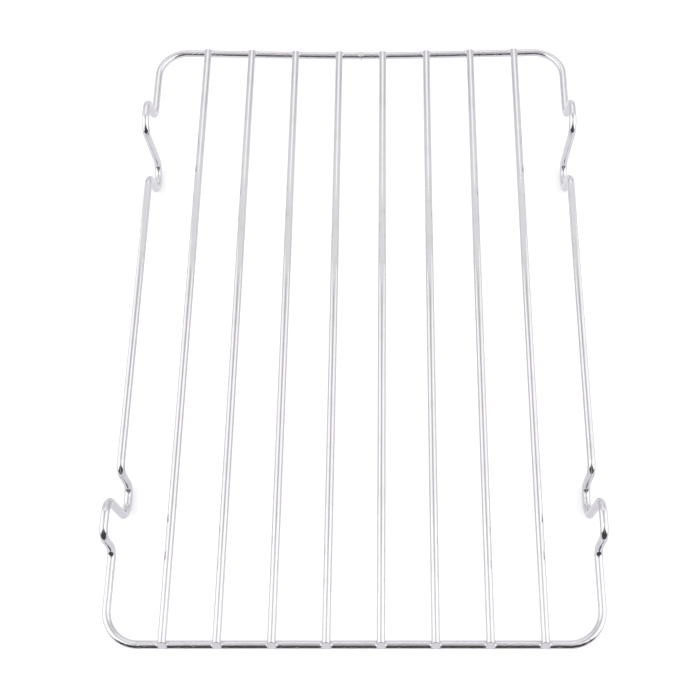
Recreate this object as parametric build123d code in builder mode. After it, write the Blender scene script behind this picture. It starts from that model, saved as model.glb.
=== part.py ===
"""Reversible roasting rack of welded round wire, in millimetres.

The rack stands on the ground plane Z = 0, centred on the Z axis. Its bars run along Y.
"""

import os
from math import atan2, cos, radians, sqrt, tan

from build123d import *

# Wire, one gauge throughout
wire_diameter = 4.0

# Frame: centre lines of the side wires and of the end wires
frame_width = 230.0
frame_length = 330.0
corner_radius = 16.0

# The far end wire hangs a little towards its butt weld, which lies on a short level stretch
end_slope = 1.763
sag_bend_radius = 1000.0
weld_half_flat = 2.1
bead_width = 1.8
bead_crown = 0.8
bead_height = 0.35

# Foot bends in the vertical plane of each side wire, from the middle of the side towards its end
foot_start = 83.0
foot_drop = 20.5
foot_rise = 19.0
dip_lean = 2.4
dip_flat = 2.83
leg_lean = -0.6
bump_flat = 4.26
bump_lean = 2.15
outer_bend_radius = 6.0
leg_bend_radius = 8.0

# Bars, welded on top of the end wires, with sheared ends
bar_count = 8
side_gap = 27.5
weld_set_down = 0.4
end_reach = 0.1
end_slant = 29.0

# Weld flash, a spindle along the end wire at each crossing
flash_half_width = 3.1
flash_radius = 2.0

# Places that follow from the sizes above
wire_radius = wire_diameter / 2
side_x = frame_width / 2
end_y = frame_length / 2
frame_z = foot_drop + wire_radius
bar_pitch = (frame_width - 2 * side_gap) / (bar_count - 1)
bar_rise = wire_diameter - weld_set_down

sag_slope = radians(end_slope)
sag_tangent = sag_bend_radius * tan(sag_slope / 2)
sag_knee = weld_half_flat + sag_tangent
sag_bend_end = sag_knee + sag_tangent * cos(sag_slope)
end_sag = (side_x - sag_knee) * tan(sag_slope)


def far_wire_sag(x):
    """How far the far end wire's centre line lies below the frame plane at x."""
    reach = abs(x)
    if reach <= weld_half_flat:
        return end_sag
    if reach <= sag_bend_end:
        along = reach - weld_half_flat
        return end_sag - sag_bend_radius + sqrt(sag_bend_radius**2 - along**2)
    return (side_x - reach) * tan(sag_slope)


def bend_tangent(radius, lean, height):
    """Length that a bend takes from a level run where the wire turns up or down with a lean."""
    return radius * tan(atan2(height, lean) / 2)


# One foot bend as corners of its centre line: distance along the side, height and bend radius
leg_tangent = bend_tangent(leg_bend_radius, leg_lean, foot_drop + foot_rise)
dip_start = foot_start + dip_lean
dip_end = dip_start + bend_tangent(outer_bend_radius, dip_lean, foot_drop) + dip_flat + leg_tangent
bump_start = dip_end + leg_lean
bump_end = bump_start + leg_tangent + bump_flat + bend_tangent(outer_bend_radius, bump_lean, foot_rise)
foot_end = bump_end + bump_lean
foot_corners = [
    (foot_start, 0, outer_bend_radius),
    (dip_start, -foot_drop, outer_bend_radius),
    (dip_end, -foot_drop, leg_bend_radius),
    (bump_start, foot_rise, leg_bend_radius),
    (bump_end, foot_rise, outer_bend_radius),
    (foot_end, 0, outer_bend_radius),
]

# Half of the frame's centre line, from the butt weld round one side to the middle of the near end
route = [(0, end_y, frame_z - end_sag)]
route += [(sag_knee, end_y, frame_z - end_sag)]
route += [(side_x, end_y, frame_z)]
route += [(side_x, along, frame_z + height) for along, height, radius in reversed(foot_corners)]
route += [(side_x, -along, frame_z + height) for along, height, radius in foot_corners]
route += [(side_x, -end_y, frame_z)]
route += [(0, -end_y, frame_z)]
foot_radii = [radius for along, height, radius in foot_corners]
route_radii = [sag_bend_radius, corner_radius]
route_radii += foot_radii[::-1] + foot_radii
route_radii += [corner_radius]

os.makedirs("parts", exist_ok=True)

# Frame wire: one closed rounded rectangle with four foot bends and a bead at the butt weld
with BuildPart() as frame_wire:
    with BuildLine() as half_frame:
        FilletPolyline(*route, radius=route_radii)
    with BuildSketch(Plane(origin=half_frame.line @ 0, z_dir=half_frame.line % 0)):
        Circle(wire_radius)
    sweep(path=half_frame.line)
    mirror(about=Plane.YZ)
    bead_axis = Axis((0, end_y, frame_z - end_sag), (1, 0, 0))
    bead_root = bead_width - bead_crown / 2
    with BuildSketch(Plane(bead_axis.position)):
        with BuildLine():
            Polyline(
                (-bead_root, wire_radius - bead_height),
                (-bead_crown / 2, wire_radius + bead_height),
                (bead_crown / 2, wire_radius + bead_height),
                (bead_root, wire_radius - bead_height),
                close=True,
            )
        make_face()
    revolve(axis=bead_axis)
frame_wire.part.label = "frame_wire"
export_step(frame_wire.part, "parts/frame_wire.step")

# Bars: straight wires with sheared ends, each seated in its welds on both end wires
for number in range(1, bar_count + 1):
    bar_x = (number - (bar_count + 1) / 2) * bar_pitch
    near_seat = Vector(bar_x, -end_y, frame_z)
    far_seat = Vector(bar_x, end_y, frame_z - far_wire_sag(bar_x))
    middle = (near_seat + far_seat) / 2 + Vector(0, 0, bar_rise)
    half_length = (far_seat - near_seat).length / 2 + wire_diameter
    with BuildPart() as bar:
        with BuildSketch(Plane(origin=middle, x_dir=(1, 0, 0), z_dir=far_seat - near_seat)):
            Circle(wire_radius)
        extrude(amount=half_length, both=True)
        for seat, outward in ((near_seat, -1), (far_seat, 1)):
            face_point = seat + Vector(0, outward * end_reach, bar_rise)
            face_normal = Vector(0, outward, tan(radians(end_slant)))
            split(bisect_by=Plane(origin=face_point, z_dir=face_normal), keep=Keep.BOTTOM)
        for seat in (near_seat, far_seat):
            contact = seat + Vector(0, 0, bar_rise / 2)
            with BuildSketch(Plane(contact)):
                with BuildLine():
                    Polyline((-flash_half_width, 0), (0, flash_radius), (flash_half_width, 0), close=True)
                make_face()
            revolve(axis=Axis(contact, (1, 0, 0)))
        add(frame_wire.part, mode=Mode.SUBTRACT)
    bar.part.label = f"bar_{number}"
    export_step(bar.part, f"parts/bar_{number}.step")
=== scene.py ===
import bpy
import bmesh
import math
import random
from mathutils import Matrix, Vector


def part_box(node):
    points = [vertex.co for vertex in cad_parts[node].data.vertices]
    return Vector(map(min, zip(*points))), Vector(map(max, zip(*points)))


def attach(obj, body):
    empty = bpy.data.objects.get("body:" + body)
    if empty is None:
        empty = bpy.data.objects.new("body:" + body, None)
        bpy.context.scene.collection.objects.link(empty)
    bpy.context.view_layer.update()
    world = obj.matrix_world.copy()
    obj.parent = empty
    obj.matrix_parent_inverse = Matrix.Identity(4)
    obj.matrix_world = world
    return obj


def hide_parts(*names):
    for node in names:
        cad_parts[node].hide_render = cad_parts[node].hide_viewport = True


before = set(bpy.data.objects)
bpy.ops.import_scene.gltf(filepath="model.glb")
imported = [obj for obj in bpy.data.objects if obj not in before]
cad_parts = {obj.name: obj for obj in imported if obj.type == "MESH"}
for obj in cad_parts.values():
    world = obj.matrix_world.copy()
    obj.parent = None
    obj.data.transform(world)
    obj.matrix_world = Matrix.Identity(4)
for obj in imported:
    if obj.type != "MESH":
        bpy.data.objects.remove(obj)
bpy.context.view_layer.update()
mm = 0.001  # sizes with mm are written in millimetres, all others in metres
print("frame loaded:", len(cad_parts), "nodes")


# small helpers for node trees
def setSocket(tree, socket, value):
    if isinstance(value, bpy.types.NodeSocket):
        tree.links.new(value, socket)
    else:
        socket.default_value = value


def addNode(tree, kind, sockets=None, **settings):
    node = tree.nodes.new(kind)
    for name, value in settings.items():
        setattr(node, name, value)
    for name, value in (sockets or {}).items():
        setSocket(tree, node.inputs[name], value)
    return node


def calc(tree, operation, first, second=0.0, clamp=False):
    node = addNode(tree, "ShaderNodeMath", operation=operation, use_clamp=clamp)
    setSocket(tree, node.inputs[0], first)
    setSocket(tree, node.inputs[1], second)
    return node.outputs[0]


def calcVector(tree, operation, first, second=(0, 0, 0)):
    node = addNode(tree, "ShaderNodeVectorMath", operation=operation)
    setSocket(tree, node.inputs[0], first)
    if operation == "SCALE":
        setSocket(tree, node.inputs["Scale"], second)
    else:
        setSocket(tree, node.inputs[1], second)
    return node.outputs["Value" if operation in ("LENGTH", "DISTANCE") else "Vector"]


def ramp(tree, value, fromLow, fromHigh, toLow=0.0, toHigh=1.0):
    sockets = {
        "Value": value, "From Min": fromLow, "From Max": fromHigh, "To Min": toLow, "To Max": toHigh}
    node = addNode(tree, "ShaderNodeMapRange", sockets, interpolation_type="SMOOTHSTEP")
    return node.outputs["Result"]


def mixColour(tree, share, first, second):
    node = addNode(tree, "ShaderNodeMix", data_type="RGBA")
    setSocket(tree, node.inputs["Factor"], share)
    setSocket(tree, node.inputs["A"], (*first, 1))
    setSocket(tree, node.inputs["B"], (*second, 1))
    return node.outputs["Result"]


def noise(tree, place, scale, detail):
    sockets = {"Vector": place, "Scale": scale, "Detail": detail}
    return addNode(tree, "ShaderNodeTexNoise", sockets).outputs["Fac"]


def drawnOut(tree, place, share):  # stretches a pattern along the wire
    return addNode(tree, "ShaderNodeMapping", {"Vector": place, "Scale": (1, 1, share)}).outputs[0]


def newTree(name, inputs):
    tree = bpy.data.node_groups.new(name, "GeometryNodeTree")
    for label, kind in inputs:
        tree.interface.new_socket(label, in_out="INPUT", socket_type=kind)
    tree.interface.new_socket("Geometry", in_out="OUTPUT", socket_type="NodeSocketGeometry")
    return tree, tree.nodes.new("NodeGroupInput").outputs


def endTree(tree, geometry, material):
    realized = addNode(tree, "GeometryNodeRealizeInstances", {"Geometry": geometry}).outputs[0]
    finished = addNode(tree, "GeometryNodeSetMaterial", {"Geometry": realized, "Material": material})
    tree.links.new(finished.outputs[0], tree.nodes.new("NodeGroupOutput").inputs[0])


def storeAttribute(tree, geometry, name, kind, value):
    sockets = {"Geometry": geometry, "Name": name, "Value": value}
    node = addNode(tree, "GeometryNodeStoreNamedAttribute", sockets, data_type=kind, domain="POINT")
    return node.outputs[0]


def capture(tree, geometry, items):
    node = addNode(tree, "GeometryNodeCaptureAttribute", {"Geometry": geometry})
    for label, kind, value in items:
        node.capture_items.new(kind, label)
        setSocket(tree, node.inputs[label], value)
    return node.outputs


def newPiece(name, mesh):
    piece = bpy.data.objects.new(name, mesh)
    bpy.context.scene.collection.objects.link(piece)
    return piece


def growPiece(name, mesh, tree, values):  # runs a tree once and keeps its result as a plain mesh
    piece = newPiece(name, mesh)
    modifier = piece.modifiers.new(tree.name, "NODES")
    modifier.node_group = tree
    for socket in tree.interface.items_tree:
        if socket.in_out == "INPUT" and socket.name in values:
            modifier[socket.identifier] = values[socket.name]
    grown = piece.evaluated_get(bpy.context.evaluated_depsgraph_get())
    plain = bpy.data.meshes.new_from_object(grown)
    piece.modifiers.clear()
    piece.data = plain
    plain.name = name
    return piece


# bright plated wire: mirror plate over drawn steel
plateLook = {
    "colour": (0.69, 0.68, 0.70),
    "colourDull": (0.65, 0.64, 0.65),
    "weldRoughness": 0.10,      # added on the welds
    "weldDull": 0.6,
    "weldPits": 0.02 * mm,
    "cloudScale": 90.0,         # scales are per metre
    "cloudDetail": 4.0,
    "cloudDull": (0.45, 0.75),  # noise levels from bright to dull
    "cloudRough": (0.3, 0.75),  # and from smooth to rough
    "drawLineScale": 2200.0,
    "drawLineDetail": 3.0,
    "drawLineStretch": 0.02,
    "drawLineDepth": 0.002 * mm,
    "rippleScale": 420.0,
    "rippleDetail": 2.0,
    "rippleDepth": 0.006 * mm,
    "pitScale": 1600.0,
    "pitDetail": 1.0,
    "pitStretch": 0.45,
    "pitSpread": (0.50, 0.78),  # noise levels from bare plate to the floor of a pit
    "endsFrom": (150.0 * mm, 162.0 * mm),  # from the middle to where the end wires begin
}
frameGrain = {  # pits are shallow on the sides of the frame and deep on its end wires
    "pitDepth": (0.012 * mm, 0.05 * mm),
    "roughness": (0.05, 0.09),
}
barGrain = {
    "pitDepth": (0.006 * mm, 0.006 * mm),
    "roughness": (0.03, 0.055),
}


def makePlate(name, look, grain):
    material = bpy.data.materials.new(name)
    material.use_nodes = True
    tree = material.node_tree
    shader = tree.nodes["Principled BSDF"]
    shader.inputs["Metallic"].default_value = 1.0
    place = addNode(tree, "ShaderNodeAttribute", attribute_name="wirePos").outputs["Vector"]
    weld = addNode(tree, "ShaderNodeAttribute", attribute_name="weldAmount").outputs["Fac"]
    cloud = noise(tree, place, look["cloudScale"], look["cloudDetail"])
    drawLines = drawnOut(tree, place, look["drawLineStretch"])
    drawLines = noise(tree, drawLines, look["drawLineScale"], look["drawLineDetail"])
    ripple = noise(tree, place, look["rippleScale"], look["rippleDetail"])
    pits = drawnOut(tree, place, look["pitStretch"])
    pits = noise(tree, pits, look["pitScale"], look["pitDetail"])
    # colour: clouds of duller plate, and the welds
    dull = ramp(tree, cloud, *look["cloudDull"])
    dull = calc(tree, "MAXIMUM", dull, calc(tree, "MULTIPLY", weld, look["weldDull"]))
    colour = mixColour(tree, dull, look["colour"], look["colourDull"])
    tree.links.new(colour, shader.inputs["Base Color"])
    # roughness
    rough = ramp(tree, cloud, *look["cloudRough"], *grain["roughness"])
    weldRough = calc(tree, "MULTIPLY", weld, look["weldRoughness"])
    tree.links.new(calc(tree, "ADD", rough, weldRough), shader.inputs["Roughness"])
    # height: pits, drawing lines and ripples
    spot = addNode(tree, "ShaderNodeTexCoord").outputs["Object"]
    spotY = addNode(tree, "ShaderNodeSeparateXYZ", {"Vector": spot}).outputs["Y"]
    pitDepth = ramp(tree, calc(tree, "ABSOLUTE", spotY), *look["endsFrom"], *grain["pitDepth"])
    pitHeight = calc(tree, "MULTIPLY", ramp(tree, pits, *look["pitSpread"], 0.0, -1.0), pitDepth)
    weldHeight = calc(tree, "MULTIPLY", pits, calc(tree, "MULTIPLY", weld, look["weldPits"]))
    lineHeight = calc(tree, "MULTIPLY", drawLines, look["drawLineDepth"])
    rippleHeight = calc(tree, "MULTIPLY", ripple, look["rippleDepth"])
    fine = calc(tree, "ADD", lineHeight, rippleHeight)
    coarse = calc(tree, "ADD", pitHeight, weldHeight)
    height = calc(tree, "ADD", fine, coarse)
    bump = addNode(tree, "ShaderNodeBump", {"Height": height, "Strength": 1.0, "Distance": 1.0})
    tree.links.new(bump.outputs[0], shader.inputs["Normal"])
    return material


framePlate = makePlate("brightPlateFrame", plateLook, frameGrain)
barPlate = makePlate("brightPlateBars", plateLook, barGrain)
print("plate made")

# the wire that all pieces are made of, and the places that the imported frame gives
wire = {
    "diameter": 4.0 * mm,
    "sides": 32,
    "ringSpacing": 0.7 * mm,
    "bendSteps": 24,         # points on each bend
}
wireRadius = wire["diameter"] / 2
frameLow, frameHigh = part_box("frame_wire")
sideX = frameHigh.x - wireRadius
endY = -frameLow.y - wireRadius
barNames = sorted(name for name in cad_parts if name.startswith("bar_"))
barBoxes = {name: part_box(name) for name in barNames}

# frame wire: corners of its route, each with a bend radius
frameShape = {
    "footDrop": 20.5 * mm,
    "footStart": 83.0 * mm,
    "dipLean": 2.4 * mm,
    "dipRun": 16.3 * mm,
    "legLean": -0.6 * mm,
    "bumpRun": 17.75 * mm,
    "bumpLean": 2.15 * mm,
    "outerBend": 6.0 * mm,
    "legBend": 8.0 * mm,
    "cornerBend": 16.0 * mm,
    "endSag": 3.0 * mm,
    "sagKnee": 17.5 * mm,
    "sagBend": 1000.0 * mm,
    "beadHeight": 0.35 * mm,
    "beadHalfWidth": 1.1 * mm,
    "weldZone": (1.0 * mm, 4.0 * mm),  # the butt weld's dull skin fades out
}
frameZ = frameLow.z + frameShape["footDrop"] + wireRadius
footRise = frameHigh.z - wireRadius - frameZ
weldPoint = Vector((0, endY, frameZ - frameShape["endSag"]))


def frameRoute(shape):
    dipStart = shape["footStart"] + shape["dipLean"]
    dipEnd = dipStart + shape["dipRun"]
    bumpStart = dipEnd + shape["legLean"]
    bumpEnd = bumpStart + shape["bumpRun"]
    foot = [  # from the middle of a side towards its end
        (shape["footStart"], 0, shape["outerBend"]),
        (dipStart, -shape["footDrop"], shape["outerBend"]),
        (dipEnd, -shape["footDrop"], shape["legBend"]),
        (bumpStart, footRise, shape["legBend"]),
        (bumpEnd, footRise, shape["outerBend"]),
        (bumpEnd + shape["bumpLean"], 0, shape["outerBend"]),
    ]
    half = [((shape["sagKnee"], endY, weldPoint.z), shape["sagBend"])]
    half += [((sideX, endY, frameZ), shape["cornerBend"])]
    half += [((sideX, along, frameZ + height), bend) for along, height, bend in reversed(foot)]
    half += [((sideX, -along, frameZ + height), bend) for along, height, bend in foot]
    half += [((sideX, -endY, frameZ), shape["cornerBend"])]
    other = [((-x, y, z), bend) for (x, y, z), bend in reversed(half)]
    return [(tuple(weldPoint), 0.0)] + half + other


def routeMesh(route):
    mesh = bpy.data.meshes.new("frameRoute")
    count = len(route)
    edges = [(i, (i + 1) % count) for i in range(count)]
    mesh.from_pydata([point for point, bend in route], edges, [])
    bends = mesh.attributes.new("bendRadius", "FLOAT", "POINT")
    bends.data.foreach_set("value", [bend for point, bend in route])
    return mesh


def makeFrameTree(shape):
    tree, given = newTree("wireOnRoute", [
        ("Geometry", "NodeSocketGeometry"),
        ("Wire Radius", "NodeSocketFloat"),
        ("Sides", "NodeSocketInt"),
        ("Ring Spacing", "NodeSocketFloat"),
        ("Bend Steps", "NodeSocketInt"),
        ("Weld Point", "NodeSocketVector"),
        ("Bead Height", "NodeSocketFloat"),
        ("Bead Half Width", "NodeSocketFloat"),
        ("Material", "NodeSocketMaterial"),
    ])
    route = addNode(tree, "GeometryNodeMeshToCurve", {"Mesh": given["Geometry"]}).outputs[0]
    bend = addNode(tree, "GeometryNodeInputNamedAttribute", {"Name": "bendRadius"}, data_type="FLOAT")
    bendSockets = {"Curve": route, "Count": given["Bend Steps"], "Radius": bend.outputs[0]}
    bent = addNode(tree, "GeometryNodeFilletCurve", bendSockets, mode="POLY").outputs[0]
    rings = addNode(tree, "GeometryNodeResampleCurve", {
        "Curve": bent, "Length": given["Ring Spacing"]}, mode="LENGTH").outputs[0]
    here = addNode(tree, "GeometryNodeInputPosition").outputs[0]
    along = addNode(tree, "GeometryNodeSplineParameter").outputs["Length"]
    weldGap = calcVector(tree, "DISTANCE", here, given["Weld Point"])
    held = capture(tree, rings, [("Along", "FLOAT", along), ("Weld Gap", "FLOAT", weldGap)])
    crown = ramp(tree, held["Weld Gap"], 0.0, given["Bead Half Width"], 1.0, 0.0)
    swell = calc(tree, "MULTIPLY", crown, given["Bead Height"])
    swell = calc(tree, "DIVIDE", swell, given["Wire Radius"])
    circle = addNode(tree, "GeometryNodeCurvePrimitiveCircle", {
        "Resolution": given["Sides"], "Radius": given["Wire Radius"]}, mode="RADIUS").outputs[0]
    section = capture(tree, circle, [("Around", "VECTOR", here)])
    tube = addNode(tree, "GeometryNodeCurveToMesh", {
        "Curve": held["Geometry"], "Profile Curve": section["Geometry"],
        "Scale": calc(tree, "ADD", swell, 1.0)}).outputs[0]
    lengthwise = addNode(tree, "ShaderNodeCombineXYZ", {"Z": held["Along"]}).outputs[0]
    wirePos = calcVector(tree, "ADD", section["Around"], lengthwise)
    tube = storeAttribute(tree, tube, "wirePos", "FLOAT_VECTOR", wirePos)
    weldAmount = ramp(tree, held["Weld Gap"], *shape["weldZone"], 1.0, 0.0)
    tube = storeAttribute(tree, tube, "weldAmount", "FLOAT", weldAmount)
    tube = addNode(tree, "GeometryNodeSetShadeSmooth", {"Geometry": tube}).outputs[0]
    endTree(tree, tube, given["Material"])
    return tree


frameTree = makeFrameTree(frameShape)
frameWire = growPiece("frameWire", routeMesh(frameRoute(frameShape)), frameTree, {
    "Wire Radius": wireRadius,
    "Sides": wire["sides"],
    "Ring Spacing": wire["ringSpacing"],
    "Bend Steps": wire["bendSteps"],
    "Weld Point": weldPoint,
    "Bead Height": frameShape["beadHeight"],
    "Bead Half Width": frameShape["beadHalfWidth"],
    "Material": framePlate,
})
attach(frameWire, "root")
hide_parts("frame_wire")
print("frame wire made:", len(frameWire.data.polygons), "faces")

# bars and their welds
barShape = {
    "rise": 3.6 * mm,        # bar axis above the end wire's axis
    "nearReach": 0.65 * mm,  # end face past the end wire's axis
    "farReach": 0.1 * mm,
    "slant": 29.0,           # sheared end face, degrees from upright
    "slantZone": 5.0 * mm,   # the slant fades out along the bar
    "rings": 320,
    "endProfile": [(0.0, 0.94), (0.05, 0.97), (0.2, 1.0)],  # mm in, share of radius
    "flatEnd": 0.01 * mm,    # the sheared face is flat shaded
    "weldZone": (2.5 * mm, 7.0 * mm),  # the welds' dull skin fades out along the bar
    "grainStep": 0.5,        # sets each bar's grain apart from the next one's
}
weldShape = {
    "steps": 48,
    "layers": 6,
    "wireHalfWidth": 3.1 * mm,
    "barHalfWidth": 1.93 * mm,
    "wireSide": 1.93 * mm,
    "barReach": 2.9 * mm,
    "faceCover": 0.5 * mm,
    "crease": 1.2 * mm,
    "hollow": 0.65,
    "bulge": -0.15,
    "faceFrom": 0.35,        # how far out the weld has climbed onto the end face
    "bulgeFrom": 0.3,        # how far out its hollow cheek starts to fill
    "bulgeOver": 0.5,
    "root": 0.3,             # its foot inside the end wire, share of radius
    "sink": 0.04 * mm,
    "waves": (2, 3, 4, 5),   # uneven outline, waves in a turn
    "wobble": 0.07,
    "seeds": (7, 8, 9),      # one weld shape each
    "spread": (0.06, 0.02),  # how much welds differ across and along the bar
}


def farWireZ(x):
    slope = frameShape["endSag"] / (sideX - frameShape["sagKnee"])
    sag = min(frameShape["endSag"], (sideX - abs(x)) * slope)
    return frameZ - sag


def weldPoints(shape, reach, angle, uneven):  # low, middle and high point of one cheek
    tanSlant = math.tan(math.radians(barShape["slant"]))
    out = max(0.0, math.sin(angle))
    x, y = math.cos(angle), math.sin(angle)
    wireY = shape["wireSide"] * y
    lowZ = math.sqrt(wireRadius ** 2 - wireY ** 2) - shape["sink"]
    low = Vector((shape["wireHalfWidth"] * x * uneven, wireY, lowZ))
    barX = shape["barHalfWidth"] * x
    barZ = barShape["rise"] - math.sqrt(wireRadius ** 2 - barX ** 2) + shape["sink"]
    if y <= 0:
        high = Vector((barX, shape["barReach"] * y * uneven, barZ))
    else:
        faceZ = barZ + shape["faceCover"] * out
        faceY = reach + (barShape["rise"] - faceZ) * tanSlant - shape["sink"]
        high = Vector((barX, faceY * min(1.0, out / shape["faceFrom"]), faceZ))
    creaseY = shape["crease"] * y
    crease = Vector((shape["crease"] * x, creaseY, math.sqrt(wireRadius ** 2 - creaseY ** 2)))
    outward = min(1.0, max(0.0, (out - shape["bulgeFrom"]) / shape["bulgeOver"]))
    pull = shape["hollow"] + (shape["bulge"] - shape["hollow"]) * outward
    halfway = (low + high) / 2
    return low, halfway + (crease - halfway) * pull, high


def makeWeld(shape, reach, seed):
    draw = random.Random(seed)
    phases = [draw.uniform(0, 2 * math.pi) for count in shape["waves"]]
    work = bmesh.new()
    rows = []
    for step in range(shape["steps"]):
        angle = 2 * math.pi * step / shape["steps"]
        waves = [math.sin(count * angle + phase) for count, phase in zip(shape["waves"], phases)]
        uneven = 1 + shape["wobble"] * (sum(waves) / len(waves))
        low, middle, high = weldPoints(shape, reach, angle, uneven)
        row = []
        for layer in range(shape["layers"] + 1):
            t = layer / shape["layers"]
            point = low * (1 - t) ** 2 + middle * 2 * t * (1 - t) + high * t * t
            row.append(work.verts.new(point))
        rows.append(row)
    bottom = work.verts.new((0, 0, shape["root"] * wireRadius))
    top = work.verts.new((0, 0, barShape["rise"]))
    for row, following in zip(rows, rows[1:] + rows[:1]):
        for layer in range(shape["layers"]):
            work.faces.new((row[layer], following[layer], following[layer + 1], row[layer + 1]))
        work.faces.new((following[0], row[0], bottom))
        work.faces.new((row[-1], following[-1], top))
    bmesh.ops.recalc_face_normals(work, faces=work.faces)
    mesh = bpy.data.meshes.new("weld")
    for face in work.faces:
        face.smooth = True
    work.to_mesh(mesh)
    work.free()
    places = mesh.attributes.new("wirePos", "FLOAT_VECTOR", "POINT")
    places.data.foreach_set("vector", [value for vert in mesh.vertices for value in vert.co])
    amounts = mesh.attributes.new("weldAmount", "FLOAT", "POINT")
    amounts.data.foreach_set("value", [1.0] * len(mesh.vertices))
    return newPiece("weld" + str(seed), mesh)


def makeBarTree(shape):
    tree, given = newTree("barOnSeats", [
        ("Geometry", "NodeSocketGeometry"),
        ("Near", "NodeSocketVector"),
        ("Far", "NodeSocketVector"),
        ("Near Seat", "NodeSocketVector"),
        ("Far Seat", "NodeSocketVector"),
        ("Near Scale", "NodeSocketVector"),
        ("Far Scale", "NodeSocketVector"),
        ("Near Weld", "NodeSocketObject"),
        ("Far Weld", "NodeSocketObject"),
        ("Wire Radius", "NodeSocketFloat"),
        ("Sides", "NodeSocketInt"),
        ("Rings", "NodeSocketInt"),
        ("Grain Start", "NodeSocketFloat"),
        ("Material", "NodeSocketMaterial"),
    ])
    line = addNode(tree, "GeometryNodeMeshLine", {"Count": given["Rings"]}).outputs[0]
    index = addNode(tree, "GeometryNodeInputIndex").outputs[0]
    turn = calc(tree, "DIVIDE", index, calc(tree, "SUBTRACT", given["Rings"], 1.0))
    share = calc(tree, "COSINE", calc(tree, "MULTIPLY", turn, math.pi))
    share = calc(tree, "MULTIPLY", share, 0.5)
    share = calc(tree, "SUBTRACT", 0.5, share)  # rings crowd towards the ends
    span = calcVector(tree, "SUBTRACT", given["Far"], given["Near"])
    axisPoint = calcVector(tree, "ADD", given["Near"], calcVector(tree, "SCALE", span, share))
    length = calcVector(tree, "LENGTH", span)
    toEnd = calc(tree, "MINIMUM", share, calc(tree, "SUBTRACT", 1.0, share))
    toEnd = calc(tree, "MULTIPLY", toEnd, length)
    held = capture(tree, line, [
        ("Axis", "VECTOR", axisPoint), ("Share", "FLOAT", share), ("To End", "FLOAT", toEnd)])
    placed = addNode(tree, "GeometryNodeSetPosition", {
        "Geometry": held["Geometry"], "Position": held["Axis"]}).outputs[0]
    axis = addNode(tree, "GeometryNodeMeshToCurve", {"Mesh": placed}).outputs[0]
    inMillimetres = calc(tree, "MULTIPLY", held["To End"], 1 / mm)
    profile = addNode(tree, "ShaderNodeFloatCurve", {"Value": inMillimetres})
    curve = profile.mapping.curves[0]
    curve.points[0].location = shape["endProfile"][0]
    curve.points[1].location = (1.0, 1.0)
    for spot in shape["endProfile"][1:]:
        curve.points.new(*spot)
    for spot in curve.points:
        spot.handle_type = "VECTOR"
    profile.mapping.update()
    circle = addNode(tree, "GeometryNodeCurvePrimitiveCircle", {
        "Resolution": given["Sides"], "Radius": given["Wire Radius"]}, mode="RADIUS").outputs[0]
    here = addNode(tree, "GeometryNodeInputPosition").outputs[0]
    section = capture(tree, circle, [("Around", "VECTOR", here)])
    tube = addNode(tree, "GeometryNodeCurveToMesh", {
        "Curve": axis, "Profile Curve": section["Geometry"], "Scale": profile.outputs[0],
        "Fill Caps": True}).outputs[0]
    offset = addNode(tree, "ShaderNodeSeparateXYZ", {
        "Vector": calcVector(tree, "SUBTRACT", here, held["Axis"])}).outputs["Z"]
    side = calc(tree, "MULTIPLY", calc(tree, "GREATER_THAN", held["Share"], 0.5), -2.0)
    side = calc(tree, "ADD", side, 1.0)  # the near end shears towards +Y, the far end towards -Y
    slope = math.tan(math.radians(shape["slant"]))
    fade = ramp(tree, held["To End"], 0.0, shape["slantZone"], slope, 0.0)
    shear = calc(tree, "MULTIPLY", calc(tree, "MULTIPLY", offset, side), fade)
    shear = addNode(tree, "ShaderNodeCombineXYZ", {"Y": shear}).outputs[0]
    tube = addNode(tree, "GeometryNodeSetPosition", {"Geometry": tube, "Offset": shear}).outputs[0]
    grain = calc(tree, "MULTIPLY", held["Share"], length)
    grain = calc(tree, "ADD", grain, given["Grain Start"])
    lengthwise = addNode(tree, "ShaderNodeCombineXYZ", {"Z": grain}).outputs[0]
    wirePos = calcVector(tree, "ADD", section["Around"], lengthwise)
    tube = storeAttribute(tree, tube, "wirePos", "FLOAT_VECTOR", wirePos)
    weldAmount = ramp(tree, held["To End"], *shape["weldZone"], 1.0, 0.0)
    tube = storeAttribute(tree, tube, "weldAmount", "FLOAT", weldAmount)
    sidesOnly = calc(tree, "GREATER_THAN", held["To End"], shape["flatEnd"])
    tube = addNode(tree, "GeometryNodeSetShadeSmooth", {
        "Geometry": tube, "Shade Smooth": sidesOnly}).outputs[0]
    joined = addNode(tree, "GeometryNodeJoinGeometry")
    for end, turned in (("Far", 0.0), ("Near", math.pi)):
        weld = addNode(tree, "GeometryNodeObjectInfo", {"Object": given[end + " Weld"]})
        seated = addNode(tree, "GeometryNodeTransform", {
            "Geometry": weld.outputs["Geometry"], "Translation": given[end + " Seat"],
            "Rotation": (0, 0, turned), "Scale": given[end + " Scale"]})
        tree.links.new(seated.outputs[0], joined.inputs[0])
    tree.links.new(tube, joined.inputs[0])
    endTree(tree, joined.outputs[0], given["Material"])
    return tree


nearWelds = [makeWeld(weldShape, barShape["nearReach"], seed) for seed in weldShape["seeds"]]
farWelds = [makeWeld(weldShape, barShape["farReach"], seed) for seed in weldShape["seeds"]]
barTree = makeBarTree(barShape)
drawWeld = random.Random(weldShape["seeds"][0])


def weldScale(spread):
    across = drawWeld.uniform(1 - spread[0], 1 + spread[0])
    along = drawWeld.uniform(1 - spread[1], 1 + spread[1])
    return Vector((across, along, 1.0))


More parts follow.
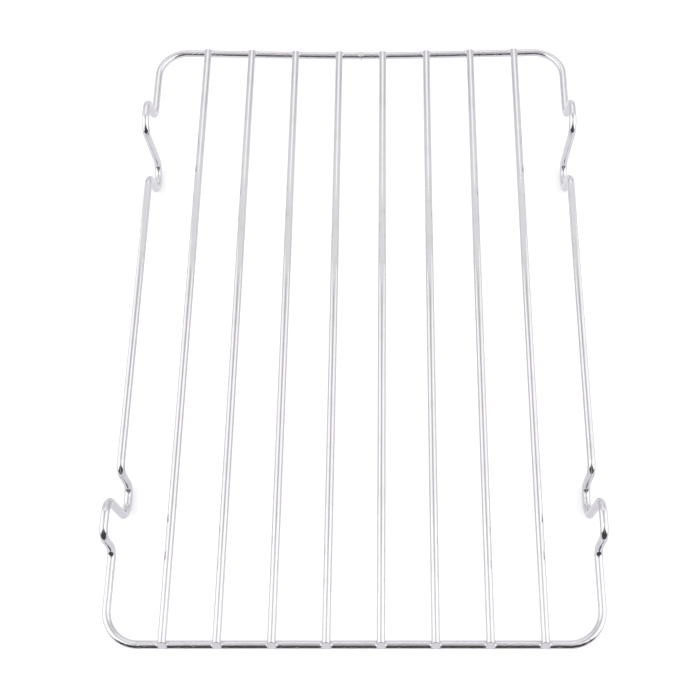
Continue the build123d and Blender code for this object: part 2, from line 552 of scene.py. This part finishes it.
rise = Vector((0, 0, barShape["rise"]))
nearReach = Vector((0, barShape["nearReach"], 0))
farReach = Vector((0, barShape["farReach"], 0))
for number, name in enumerate(barNames):
    low, high = barBoxes[name]
    x = (low.x + high.x) / 2
    nearSeat = Vector((x, -endY, frameZ))
    farSeat = Vector((x, endY, farWireZ(x)))
    bar = growPiece("bar" + name.split("_")[1], bpy.data.meshes.new(name), barTree, {
        "Near": nearSeat + rise - nearReach,
        "Far": farSeat + rise + farReach,
        "Near Seat": nearSeat,
        "Far Seat": farSeat,
        "Near Scale": weldScale(weldShape["spread"]),
        "Far Scale": weldScale(weldShape["spread"]),
        "Near Weld": drawWeld.choice(nearWelds),
        "Far Weld": drawWeld.choice(farWelds),
        "Wire Radius": wireRadius,
        "Sides": wire["sides"],
        "Rings": barShape["rings"],
        "Grain Start": barShape["grainStep"] * number,
        "Material": barPlate,
    })
    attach(bar, "root")
    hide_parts(name)
for weld in nearWelds + farWelds:
    bpy.data.objects.remove(weld)
print("bars made:", len(barNames))

# studio in metres: floor sheet, soft boxes, grey flats and the curtain that the camera looks out of
studio = {
    "floorColour": (0.90, 0.90, 0.90),
    "floorTopUp": 0.28,      # makes the lit floor white for the camera
    "floorShown": 1.0,       # the floor as the metal shows it
    "footShade": 0.90,       # the same close to a near foot
    "footPlace": (0.115, -0.100),
    "footReach": (0.025, 0.055),  # the shade fades out round it
    "barShade": 0.80,        # the same under the middle of the bars
    "barMiddle": -0.02,      # the shade fades out along the bars from here
    "barReach": (0.06, 0.12),
    "barSides": (0.09, 0.105),
    "floorShownColour": (0.99, 0.98, 1.03),
    "floorX": 3.0,
    "floorNear": -0.29,
    "floorFar": 3.0,
    "skyLevel": 0.80,        # light from all round, seen as white
    "boxFootX": 1.75,
    "boxTopZ": 2.25,
    "boxes": [               # near end, far end, x of the top edge, level added to the white behind
        ("softBoxNear", -1.90, 0.12, 0.74, 0.52),
        ("softBoxMiddle", 0.12, 0.30, 0.92, 0.52),
        ("softBoxFar", 0.30, 0.90, 1.13, 0.42),
    ],
    "backLightPlace": (0, 1.0, 1.0),
    "backLightSize": 0.6,
    "backLightLevel": 0.20,
    "backBoxPlace": (0, 1.90, 2.20),
    "backBoxSize": (1.40, 0.95),
    "backBoxLevel": 0.24,
    "curtain": [             # half width, y, z and how dark, from the floor up and over
        (1.00, -0.50, -0.50, 1.0),
        (1.00, -0.50, 0.07, 1.0),
        (0.60, -0.50, 0.13, 1.0),
        (0.56, -0.50, 0.28, 1.0),
        (0.46, -0.48, 0.50, 0.82),
        (0.30, -0.40, 0.72, 0.40),
        (0.19, -0.20, 0.95, 0.06),
        (0.05, -0.02, 1.00, 0.0),
        (0.09, 0.06, 1.02, 0.0),
        (0.20, 0.14, 1.04, 0.15),
        (0.25, 0.53, 1.05, 0.22),
    ],
    "curtainPale": (0.85, 0.83, 0.83),
    "curtainDark": (0.085, 0.08, 0.08),
    "flatX": 1.40,           # grey flats past the far ends of the soft boxes
    "flatNear": 1.15,
    "flatFar": 2.80,
    "flatTop": 1.10,
    "flatColour": (0.82, 0.81, 0.83),
}


def stagePiece(name, mesh, material):
    mesh.materials.append(material)
    piece = newPiece(name, mesh)
    return piece


def mirrorRays(tree, path):
    return calc(tree, "ADD", path["Is Glossy Ray"], path["Is Transmission Ray"], clamp=True)


def hideFromCamera(piece):  # it is there for the metal to show, and shades nothing
    piece.visible_camera = False
    piece.visible_diffuse = False
    piece.visible_shadow = False


def matteMaterial(name, colour):
    material = bpy.data.materials.new(name)
    material.use_nodes = True
    shader = material.node_tree.nodes["Principled BSDF"]
    shader.inputs["Base Color"].default_value = (*colour, 1)
    shader.inputs["Roughness"].default_value = 1.0
    shader.inputs["Specular IOR Level"].default_value = 0.0
    return material, material.node_tree, shader


def makeFloor(look):
    paper, tree, shader = matteMaterial("floorPaper", look["floorColour"])
    path = addNode(tree, "ShaderNodeLightPath").outputs
    shader.inputs["Emission Color"].default_value = (1, 1, 1, 1)
    topUp = calc(tree, "MULTIPLY", path["Is Camera Ray"], look["floorTopUp"])
    tree.links.new(topUp, shader.inputs["Emission Strength"])
    here = addNode(tree, "ShaderNodeNewGeometry").outputs["Position"]
    spot = addNode(tree, "ShaderNodeSeparateXYZ", {"Vector": here}).outputs
    across = calc(tree, "ABSOLUTE", spot["X"])
    folded = addNode(tree, "ShaderNodeCombineXYZ", {"X": across, "Y": spot["Y"]}).outputs[0]
    fromFoot = calcVector(tree, "DISTANCE", folded, (*look["footPlace"], 0))
    footShade = ramp(tree, fromFoot, *look["footReach"], look["footShade"], look["floorShown"])
    along = calc(tree, "ABSOLUTE", calc(tree, "SUBTRACT", spot["Y"], look["barMiddle"]))
    endShade = ramp(tree, along, *look["barReach"], look["barShade"], look["floorShown"])
    sideShade = ramp(tree, across, *look["barSides"], look["barShade"], look["floorShown"])
    level = calc(tree, "MINIMUM", footShade, calc(tree, "MAXIMUM", endShade, sideShade))
    white = addNode(tree, "ShaderNodeEmission", {"Strength": level})
    white.inputs["Color"].default_value = (*look["floorShownColour"], 1)
    shown = addNode(tree, "ShaderNodeMixShader", {"Fac": mirrorRays(tree, path)})
    tree.links.new(shader.outputs[0], shown.inputs[1])
    tree.links.new(white.outputs[0], shown.inputs[2])
    tree.links.new(shown.outputs[0], tree.nodes["Material Output"].inputs["Surface"])
    near, far, halfX = look["floorNear"], look["floorFar"], look["floorX"]
    mesh = bpy.data.meshes.new("floor")
    corners = [(-halfX, near, 0), (halfX, near, 0), (halfX, far, 0), (-halfX, far, 0)]
    mesh.from_pydata(corners, [], [(0, 1, 2, 3)])
    stagePiece("floor", mesh, paper)


def makeCurtain(look):
    cloth, tree, shader = matteMaterial("curtainCloth", look["curtainDark"])
    shade = addNode(tree, "ShaderNodeAttribute", attribute_name="shade").outputs["Fac"]
    colour = mixColour(tree, shade, look["curtainPale"], look["curtainDark"])
    tree.links.new(colour, shader.inputs["Base Color"])
    rows = look["curtain"]
    points = [(side * half, y, z) for half, y, z, dark in rows for side in (-1, 1)]
    faces = [(2 * i, 2 * i + 1, 2 * i + 3, 2 * i + 2) for i in range(len(rows) - 1)]
    mesh = bpy.data.meshes.new("curtain")
    mesh.from_pydata(points, [], faces)
    shades = mesh.attributes.new("shade", "FLOAT", "POINT")
    shades.data.foreach_set("value", [dark for half, y, z, dark in rows for side in (-1, 1)])
    hideFromCamera(stagePiece("curtain", mesh, cloth))


def makeFlats(look):
    card = matteMaterial("flatCard", look["flatColour"])[0]
    near, far, top = look["flatNear"], look["flatFar"], look["flatTop"]
    for name, x in (("flatLeft", -look["flatX"]), ("flatRight", look["flatX"])):
        mesh = bpy.data.meshes.new(name)
        corners = [(x, near, 0), (x, far, 0), (x, far, top), (x, near, top)]
        mesh.from_pydata(corners, [], [(0, 1, 2, 3)])
        hideFromCamera(stagePiece(name, mesh, card))


def areaLamp(name, middle, across, along, level):
    light = bpy.data.lights.new(name, "AREA")
    light.shape = "RECTANGLE"
    light.size = across.length
    light.size_y = along.length
    light.energy = level * math.pi * across.length * along.length
    lamp = bpy.data.objects.new(name, light)
    bpy.context.scene.collection.objects.link(lamp)
    right, up = across.normalized(), along.normalized()
    turn = Matrix((right, up, right.cross(up))).transposed()  # a lamp shines along its own -Z
    lamp.matrix_world = Matrix.Translation(middle) @ turn.to_4x4()
    lamp.visible_camera = False


def makeLamps(look):
    for name, near, far, topX, level in look["boxes"]:
        for sideName, side in (("Left", -1), ("Right", 1)):
            foot = Vector((side * look["boxFootX"], (near + far) / 2, 0))
            top = Vector((side * topX, (near + far) / 2, look["boxTopZ"]))
            across = Vector((0, side * (far - near), 0))
            areaLamp(name + sideName, (foot + top) / 2, across, top - foot, level)
    size = look["backLightSize"]
    place = Vector(look["backLightPlace"])
    towards = place.normalized()
    right = Vector((size, 0, 0))
    areaLamp("backLight", place, right, towards.cross(right), look["backLightLevel"])
    place = Vector(look["backBoxPlace"])
    wide, deep = look["backBoxSize"]
    areaLamp("backBox", place, Vector((wide, 0, 0)), Vector((0, deep, 0)), look["backBoxLevel"])


def makeSky(look):
    world = bpy.data.worlds.new("studioSky")
    world.use_nodes = True
    bpy.context.scene.world = world
    tree = world.node_tree
    sky = tree.nodes["Background"]
    sky.inputs["Color"].default_value = (1, 1, 1, 1)
    path = addNode(tree, "ShaderNodeLightPath").outputs
    seen = calc(tree, "ADD", path["Is Camera Ray"], mirrorRays(tree, path), clamp=True)
    strength = addNode(tree, "ShaderNodeMix", {"Factor": seen}, data_type="FLOAT")
    strength.inputs["A"].default_value = look["skyLevel"]
    strength.inputs["B"].default_value = 1.0
    tree.links.new(strength.outputs["Result"], sky.inputs["Strength"])


makeFloor(studio)
makeCurtain(studio)
makeFlats(studio)
makeLamps(studio)
makeSky(studio)
print("studio made")

# camera at the photograph's place, from a fit to the rack's own lines
view = {
    "place": (17.93 * mm, -218.88 * mm, 518.77 * mm),
    "pitch": 68.107,
    "yaw": 0.706,
    "roll": -0.726,
    "focalPixels": 1049.32,
    "centreX": 387.74,
    "imageSize": 700,
    "sensor": 36.0,
    "clipStart": 10.0 * mm,
}


def makeCamera(look):
    pitch, yaw, roll = (math.radians(look[name]) for name in ("pitch", "yaw", "roll"))
    turnYaw = Matrix.Rotation(yaw, 3, "Z")
    right = turnYaw @ Vector((1, 0, 0))
    forward = turnYaw @ Vector((0, math.cos(pitch), -math.sin(pitch)))
    up = right.cross(forward)
    rolledRight = math.cos(roll) * right + math.sin(roll) * up
    rolledUp = math.cos(roll) * up - math.sin(roll) * right
    data = bpy.data.cameras.new("photoCamera")
    data.sensor_width = look["sensor"]
    data.lens = look["focalPixels"] / look["imageSize"] * look["sensor"]
    data.shift_x = 0.5 - look["centreX"] / look["imageSize"]
    data.clip_start = look["clipStart"]
    camera = bpy.data.objects.new("photoCamera", data)
    bpy.context.scene.collection.objects.link(camera)
    turn = Matrix((rolledRight, rolledUp, -forward)).transposed()
    camera.matrix_world = Matrix.Translation(look["place"]) @ turn.to_4x4()
    bpy.context.scene.camera = camera


makeCamera(view)
bpy.context.scene.view_settings.view_transform = "Standard"
print("camera made")
